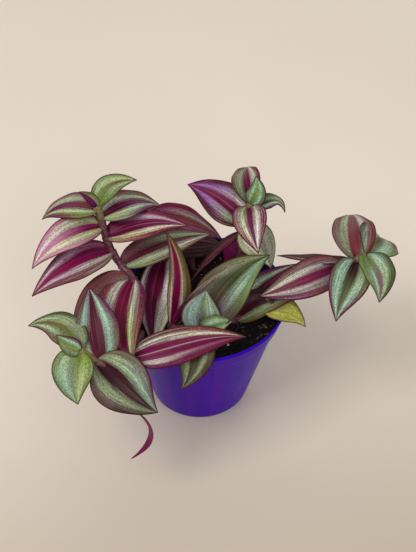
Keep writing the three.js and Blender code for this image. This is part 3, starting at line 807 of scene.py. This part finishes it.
stems = {
    "stem_tall_left": stem(2, (-39.3, -4), [
        seen(134, 281, 13), seen(120, 264, 11), seen(112, 251, 13),
        seen(106, 237, 15), seen(101, 219, 18), seen(97, 206, 21),
    ], [
        leaf(6, seen(137, 180, 22), 14, "tipLeaf", roll=-12, arch=(4, 4), sway=(-5, -4), fold=12),
        leaf(6, seen(79, 192, 24), 7, "tipBud", roll=10, arch=(1, 1), sway=(1, 1), fold=20),
        leaf(5.7, seen(42, 219.5, 15), 18, "leftYoung", roll=32, arch=(5, 7), sway=(1, 2)),
        leaf(5.1, seen(161, 206, 7), 20.5, "rightMint", roll=-30, arch=(5, 6), sway=(-2, -3)),
        leaf(4.6, seen(32, 269, 28), 20, "leftPink", roll=14, sway=(5, 5)),
        leaf(4, seen(188.5, 226, 14), 20, "rightCream", roll=-28, arch=(5, 6), sway=(-2, -2), fold=6),
        leaf(3, seen(32, 296.5, 26), 22, "leftViolet", roll=22, arch=(5, 4), sway=(2, 3)),
        leaf(1.9, seen(212, 234, -3), 20, "rightBrown", roll=-28, sway=(-1, -1), fold=6),
        leaf(1.1, seen(134, 367, 44.5), 31, "frontMaroon", roll=14, arch=(2.5, 6), sway=(7, 5), fold=12),
        leaf(1.1, seen(76, 344, 20), 28, "leftBrown", roll=10, arch=(2, 4), sway=(2, 6)),
    ]),
    "stem_back_left": stem(1.9, (-14, 13), [seen(168, 262, -10), seen(158, 234, -9), seen(151, 214, -7)], [
        leaf(3, seen(222, 239, -18), 22, "backBrown", roll=-34, arch=(5, 6), sway=(1, 0), fold=6),
        leaf(1.2, seen(154, 348, 23), 26.5, "frontPlum", roll=16, arch=(-3, 2), sway=(1, 1.5)),
        leaf(1.5, seen(226, 246, -32), 19, "shade", roll=-24, arch=(3, 3), fold=6),
        leaf(2.6, seen(132, 218, -22), 15, "shade", roll=20, arch=(3, 3)),
        leaf(3, spot(-30, 50, 97), 16, "burgundyGreen", arch=(4, 4), fold=10, behind=True),
    ]),
    "stem_tall_middle": stem(2, (19, 11), [
        seen(237, 270, -3), seen(242, 248, 4), seen(246, 228, 9),
        seen(248, 213, 13), seen(251, 203, 16),
    ], [
        leaf(3.4, seen(187.5, 184.5, 4), 24, "midViolet", roll=8, sway=(1, 3)),
        leaf(5, seen(247.5, 167, -4), 20.5, "topPlum", roll=-10, sway=(-1, 0), fold=32),
        leaf(5, seen(256, 175.5, 24), 12, "topBud", arch=(2, 2), sway=(2, 2), fold=14),
        leaf(5, seen(285, 212.5, 14), 14, "sideGreen", roll=-48, arch=(-3, 9), sway=(-1, -4), fold=10),
        leaf(4.6, seen(258.5, 253.5, 32), 20, "midMauve", roll=8, arch=(6, 5), sway=(1, 0.5), fold=10),
        leaf(3.1, seen(271, 268, 12), 20.5, "midGreen", arch=(5, 4), sway=(0, -2), fold=6),
        leaf(2.7, seen(191, 281, 0), 13, "thinBrown", roll=66, arch=(2, 2), fold=24),
        leaf(2, seen(267, 240, -20), 16, "burgundyGreen", roll=20, arch=(4, 4)),
        leaf(1, seen(262, 244, -26), 15, "shade", arch=(6, 5)),
        leaf(1.2, seen(223, 238, -20), 18, "darkMagenta", roll=150, arch=(2, 2), fold=6),
    ]),
    "stem_long_right": stem(1.9, (23, 4), [
        seen(262, 286, -2), seen(290, 277, 4), seen(320, 271, 14),
        seen(344, 266, 22), seen(357, 260, 26), seen(366, 255, 27),
    ], [
        leaf(5, seen(350, 215, -8), 25, "rightBurgundy", roll=-4, arch=(8, 9), sway=(-1, 0)),
        leaf(6, seen(377, 237, -4), 29, "rightYoung", roll=-6, arch=(4, 6), sway=(0, 2), fold=20),
        leaf(5, seen(336, 321.5, 36), 22.5, "rightOlive", roll=4, sway=(0, 2)),
        leaf(6, seen(379, 302.5, 42), 22, "rightGreen", roll=-20, arch=(4, 4), sway=(-1, -3), fold=16),
        leaf(4, seen(258, 296.5, 16), 22.5, "lowLilac", roll=14, arch=(4, 4), sway=(0, -2)),
        leaf(4.5, seen(277, 255.5, 3), 13, "thinBrown", roll=62, arch=(0, 1), sway=(-1, 0)),
    ]),
    "stem_front_left": stem(1.9, (-33, -22), [
        spot(-32, -36, 80), spot(-34, -43, 81.4), spot(-37, -51, 79),
        spot(-44, -57, 79), spot(-53, -57, 82), spot(-63.5, -53.6, 88),
    ], [
        leaf(6, seen(28, 326, 38), 20, "frontOlive", roll=32, arch=(4, 5), sway=(6, 6)),
        leaf(6, seen(78, 404.5, 50), 24, "frontLime", roll=4, arch=(4, 4), sway=(3, 2), fold=16),
        leaf(6, seen(56.5, 334.5, 50), 11, "frontBud", roll=10, arch=(1, 1), sway=(-1, -1), fold=20),
        leaf(5.2, seen(158, 412.5, 38), 32, "frontDark", roll=-6, sway=(-1, 2)),
        leaf(4.9, seen(89, 287.5, 30), 26.5, "frontMint", arch=(4, 5), sway=(0, 1)),
        leaf(4.4, seen(131.5, 458.5, 22), 13.5, "hanging", roll=-84, twist=-35, arch=(-10, 28), fold=10),
        leaf(3, seen(246, 337, 33), 20.5, "frontDouble", roll=-10, arch=(6, 5), sway=(0, -4), fold=6),
    ]),
    "stem_low_middle": stem(1.8, (-15, -16), [seen(172, 327, 22), seen(187, 330, 27), seen(203, 330, 30)], [
        leaf(3, seen(270.5, 255, 20), 28, "wideDark", roll=-10, arch=(4, 4), sway=(-5, -6)),
        leaf(
            1, seen(245, 261, 42), 10, "thinPink",
            roll=-126, twist=36, arch=(4.2, 6.8), sway=(-0.7, 2.5), fold=10,
        ),
        leaf(3, seen(206.5, 290, 35), 22, "lowMint", arch=(1, 1), sway=(-2, -1)),
        leaf(3, seen(233, 321.5, 31), 15, "smallLime", roll=25, arch=(4, 4), sway=(-2, -3), fold=10),
        leaf(1, seen(165, 230.5, 26), 17, "crimson", roll=40, arch=(4, 4), sway=(3, 6)),
        leaf(2.2, seen(181.5, 390, 40), 22, "rimOlive", sway=(-5, -5)),
    ]),
    "stem_rim_right": stem(1.8, (17, -11), [seen(234, 320, 8), seen(249, 314, 8), seen(264, 307, 10)], [
        leaf(1.1, seen(297, 299.5, 13), 17.5, "rimDark", roll=-18, arch=(4, 4), sway=(-4, -4)),
        leaf(1.5, seen(296, 264, 9), 21, "rimSilver", roll=-20, arch=(3, 3), sway=(-2, -2)),
        leaf(3, seen(305.5, 327, 14), 18, "rimYellow", roll=-36, arch=(4, 5), sway=(-1, -2), fold=6),
    ]),
    "stem_back_trailing": stem(1.8, (-4, 30), [
        spot(-6, 42, 80), spot(-8, 53, 82), spot(-10, 64, 72), spot(-9, 70, 54),
    ], [
        leaf(1.6, spot(-36, 62, 80), 18, "rightCream", behind=True),
        leaf(2.6, spot(12, 77, 42), 18, "rightMint", behind=True),
        leaf(3.2, spot(-36, 80, 46), 18, "lowLilac", behind=True),
        leaf(4, spot(-16, 82, 22), 19, "midViolet", behind=True),
        leaf(4, spot(8, 78, 34), 12, "rightYoung", arch=(3, 3), fold=10, behind=True),
    ]),
}

blade = {
    "columns": 30, "rows": 54,
    "widest": 20.0,  # the half width that the leafShape attribute's alpha counts as 1, mm
    "thickness": 0.7,
    "edgeShare": 0.3,  # how thin the margin is, against the middle
    "sheathHalfWidth": 1.1, "tipHalfWidth": 0.3, "baseCurve": 0.6, "pointCurve": 1.1,
    "baseFold": 20,  # how much further a blade is folded where it clasps its stem, degrees
    "dish": 0.12, "ribRelief": 0.1, "ribs": 3.5, "wave": 0.5, "waves": 2.3,
    "usualWidth": 22,  # at which the waves have their full height, mm
}

stalk = {"sides": 20, "stepsPerSpan": 14, "buried": 12, "knotSwell": 0.1, "knotLength": 1.6}
sheath = {"length": 6.5, "foot": 1.0, "mouth": 1.2, "lean": 0.5, "sides": 20, "rows": 7, "thickness": 0.2}


def stemPoints(stem):
    x, y = stem["foot"]
    return [spot(x, y, soilTop - stalk["buried"]), spot(x, y, soilTop), *stem["path"]]


def alongCurve(points, place):  # an even Catmull-Rom curve; the points lie at 0, 1, 2 and so on
    first = min(int(place), len(points) - 2)
    t = place - first
    p1, p2 = points[first], points[first + 1]
    p0 = points[first - 1] if first > 0 else 2 * p1 - p2
    p3 = points[first + 2] if first + 2 < len(points) else 2 * p2 - p1
    bend = (2 * p0 - 5 * p1 + 4 * p2 - p3) * t * t + (3 * p1 - p0 - 3 * p2 + p3) * t ** 3
    return (2 * p1 + (p2 - p0) * t + bend) / 2


def bladePlacer(root, leafData):  # gives the midrib's place and directions at a share of its length
    chord = leafData["tip"] - root
    axis = chord.normalized()
    toward = backToward if leafData["behind"] else viewToward
    face = (toward - axis * toward.dot(axis)).normalized()
    face = Quaternion(axis, math.radians(leafData["roll"])) @ face
    side = axis.cross(face)
    handles = []
    for share, rise, shift in zip((1 / 3, 2 / 3), leafData["arch"], leafData["sway"]):
        handles.append(root + chord * share + face * rise * 4 / 3 + side * shift * 4 / 3)
    p0, p1, p2, p3 = root, *handles, leafData["tip"]

    def place(t):
        q = 1 - t
        middle = p0 * q ** 3 + p1 * 3 * q * q * t + p2 * 3 * q * t * t + p3 * t ** 3
        ahead = ((p1 - p0) * q * q + (p2 - p1) * 2 * q * t + (p3 - p2) * t * t).normalized()
        facing = Quaternion(axis, math.radians(leafData["twist"] * t)) @ face
        across = ahead.cross(facing).normalized()
        return middle, across, across.cross(ahead)

    return place


def halfWidth(width, t):
    a, b = blade["baseCurve"], blade["pointCurve"]
    peak = a / (a + b)
    outline = t ** a * (1 - t) ** b / (peak ** a * (1 - peak) ** b)
    return width / 2 * outline + blade["sheathHalfWidth"] * (1 - t) ** 4 + blade["tipHalfWidth"] * t ** 6


def tintSides(words):  # for each side, the colours at the stem and at the tip
    sides = [side.split("-") for side in words.split(" / ")]
    return [[Vector(hexColour(tints[name])) for name in (s[0], s[-1])] for s in (sides[0], sides[-1])]


tintLayers = ("stripeTint", "bandTint", "marginTint")


def addBlade(bm, layers, stem, leafData, seed):
    place = bladePlacer(alongCurve(stemPoints(stem), leafData["at"] + 1), leafData)
    width = leafData["width"]
    colours = looks[leafData["look"]]
    stripe, bands, margins = [tintSides(colours[part]) for part in ("stripe", "bands", "margins")]
    shift = colours["shift"]
    phase = seed * 2.4
    rows = {}
    placed = gridInto(bm, blade["columns"], blade["rows"])
    for vertex, u, v in placed:
        key = round(v, 5)
        if key not in rows:
            t = min(1, max(0, 0.5 - 0.5 * math.cos(math.pi * v)))
            fold = math.radians(leafData["fold"] + blade["baseFold"] * (1 - t) ** 3)
            rows[key] = (t, halfWidth(width, t), fold, *place(t))
        t, half, fold, middle, across, up = rows[key]
        s = 2 * u - 1
        away = math.sqrt(s * s + 0.004) - 0.063  # from the midrib, rounded over it
        lift = half * (away * math.sin(fold) - blade["dish"] * s * s)
        relief = blade["ribRelief"] * math.cos(math.tau * blade["ribs"] * abs(s)) * math.sin(math.pi * t)
        wave = blade["wave"] * math.sin(math.tau * blade["waves"] * t + phase + (2 if s > 0 else 0))
        lift += relief + wave * abs(s) ** 3 * math.sin(math.pi * t) * width / blade["usualWidth"]
        vertex.co = (middle + across * half * s * math.cos(fold) + up * lift) * mm
        edge = blade["edgeShare"]
        vertex[layers["thick"]][0] = (1 - edge) * (1 - s ** 4) * (1 - t ** 6) + edge
        side = 1 if s - shift > 0 else 0
        far = smooth(t, 0.1, 0.7)
        for name, (stemTint, tipTint) in zip(tintLayers, (stripe[side], bands[side], margins[side])):
            vertex[layers[name]] = stemTint.lerp(tipTint, far)
        shape = (colours["half"], colours["edge"], colours["streaks"], half / blade["widest"])
        habit = ((seed * 0.137) % 1, shift / 2 + 0.5, colours["midline"], colours["paleBack"] * far)
        vertex[layers["leafShape"]], vertex[layers["leafHabit"]] = shape, habit
        for loop in vertex.link_loops:
            loop[layers["uv"]].uv = (u, t)


def makeLeaves(name, stem, materials, seed):
    bm = bmesh.new()
    layers = {"thick": bm.verts.layers.deform.verify(), "uv": bm.loops.layers.uv.new("blade")}
    for attributeName in (*tintLayers, "leafShape", "leafHabit"):
        layers[attributeName] = bm.verts.layers.float_color.new(attributeName)
    for i, leafData in enumerate(stem["leaves"]):
        addBlade(bm, layers, stem, leafData, seed + i)
    piece = finishPiece(bm, name + "_leaves", materials, [name], closed=False)
    piece.vertex_groups.new(name="thick")
    body = piece.modifiers.new("body", "SOLIDIFY")
    body.thickness = blade["thickness"] * mm
    body.offset = -1
    body.vertex_group = "thick"
    body.thickness_vertex_group = 0
    body.material_offset = 1
    body.material_offset_rim = 0


def tubeFrames(points, start, end, steps):  # places, side and up directions that don't spin along the way
    frames = []
    side = None
    for i in range(steps + 1):
        place = start + (end - start) * i / steps
        here = alongCurve(points, place)
        before, after = max(place - 0.01, 0), min(place + 0.01, len(points) - 1)
        ahead = (alongCurve(points, after) - alongCurve(points, before)).normalized()
        if side is None:
            side = ahead.orthogonal().normalized()
        side = (side - ahead * side.dot(ahead)).normalized()
        frames.append((place, here, side, ahead.cross(side)))
    return frames


def tubeInto(bm, frames, sides, shape):  # shape says where a corner stands beside the tube's middle
    uv, young = bm.loops.layers.uv["blade"], bm.verts.layers.float["young"]
    rows = len(frames) - 1
    placed = gridInto(bm, sides, rows)
    for vertex, across, along in placed:
        place, here, side, up = frames[min(rows, round(along * rows))]
        turn = across * math.tau
        beside, youth = shape(place, side * math.cos(turn) + up * math.sin(turn), along)
        vertex.co = (here + beside) * mm
        vertex[young] = youth
        for loop in vertex.link_loops:
            loop[uv].uv = (across, along)
    closeTube(bm, placed, 0.005)


def tubeMesh():
    bm = bmesh.new()
    bm.loops.layers.uv.new("blade")
    bm.verts.layers.float.new("young")
    return bm


def makeStalk(name, stem, material):
    bm = tubeMesh()
    points = stemPoints(stem)
    end = len(points) - 1

    def shape(place, out, along):
        before, after = max(place - 0.1, 0), min(place + 0.1, end)
        spanLength = (alongCurve(points, after) - alongCurve(points, before)).length / 0.2
        swell = 0
        for leafData in stem["leaves"]:
            away = (place - leafData["at"] - 1) * spanLength + sheath["length"]
            swell = max(swell, math.exp(-(away / stalk["knotLength"]) ** 2))
        radius = stem["radius"] * (1 + stalk["knotSwell"] * swell) * (1.04 - 0.14 * along)
        if along < 0.001 or along > 0.999:
            radius = 0
        return out * radius, smooth(place, end - 1.6, end - 0.2)

    tubeInto(bm, tubeFrames(points, 0, end, end * stalk["stepsPerSpan"]), stalk["sides"], shape)
    finishPiece(bm, name + "_stalk", [material], [name])


def makeSheaths(name, stem, material):
    bm = tubeMesh()
    points = stemPoints(stem)
    taken = []
    for leafData in stem["leaves"]:
        top = leafData["at"] + 1
        if any(abs(top - other) < 0.15 for other in taken):  # leaves at one knot share a sheath
            continue
        taken.append(top)
        spanLength = (alongCurve(points, top) - alongCurve(points, top - 0.2)).length / 0.2
        toTip = (leafData["tip"] - alongCurve(points, top)).normalized()

        def shape(place, out, along):
            widen = sheath["foot"] + (sheath["mouth"] - sheath["foot"]) * along ** 2
            lean = sheath["lean"] * along ** 3 * max(0, out.dot(toTip))
            beside = out * stem["radius"] * widen + toTip * lean
            return beside, smooth(top, len(points) - 2.2, len(points) - 1)

        frames = tubeFrames(points, top - sheath["length"] / spanLength, top, sheath["rows"])
        tubeInto(bm, frames, sheath["sides"], shape)
    piece = finishPiece(bm, name + "_sheaths", [material])
    wall = piece.modifiers.new("wall", "SOLIDIFY")
    wall.thickness = sheath["thickness"] * mm
    wall.offset = 1


def makeFloor(material):
    bm = bmesh.new()
    bmesh.ops.create_grid(bm, x_segments=2, y_segments=2, size=studio["floorSize"] / 2)
    mesh = bpy.data.meshes.new("floor")
    bm.to_mesh(mesh)
    bm.free()
    mesh.materials.append(material)
    addObject("floor", mesh)


def makeScene():
    makeCamera()
    makeLights()
    makeFloor(floorMaterial())
    makePot(potMaterial())
    makeSoil(soilMaterial())
    makeCrumbs(
        fleckMaterial("crumb", "080605", "281C15", 0.9),
        fleckMaterial("perlite", "B8B4AC", "EDEBE6"),
        fleckMaterial("bark", "3A2416", "A87E4C"),
    )
    makeFibres(fleckMaterial("fibre", "3E3832", "8C8478"))
    print("pot and soil made")
    leafSkins = [leafFaceMaterial(), leafBackMaterial()]
    stalkSkin, sheathSkin = stalkMaterial("stalkSkin"), stalkMaterial("leafSheath")
    print("leaf and stem materials made")
    for i, (name, stem) in enumerate(stems.items()):
        makeLeaves(name, stem, leafSkins, 10 * i + 1)
        makeStalk(name, stem, stalkSkin)
        makeSheaths(name, stem, sheathSkin)
        print("made", name, "with", len(stem["leaves"]), "leaves")


makeScene()
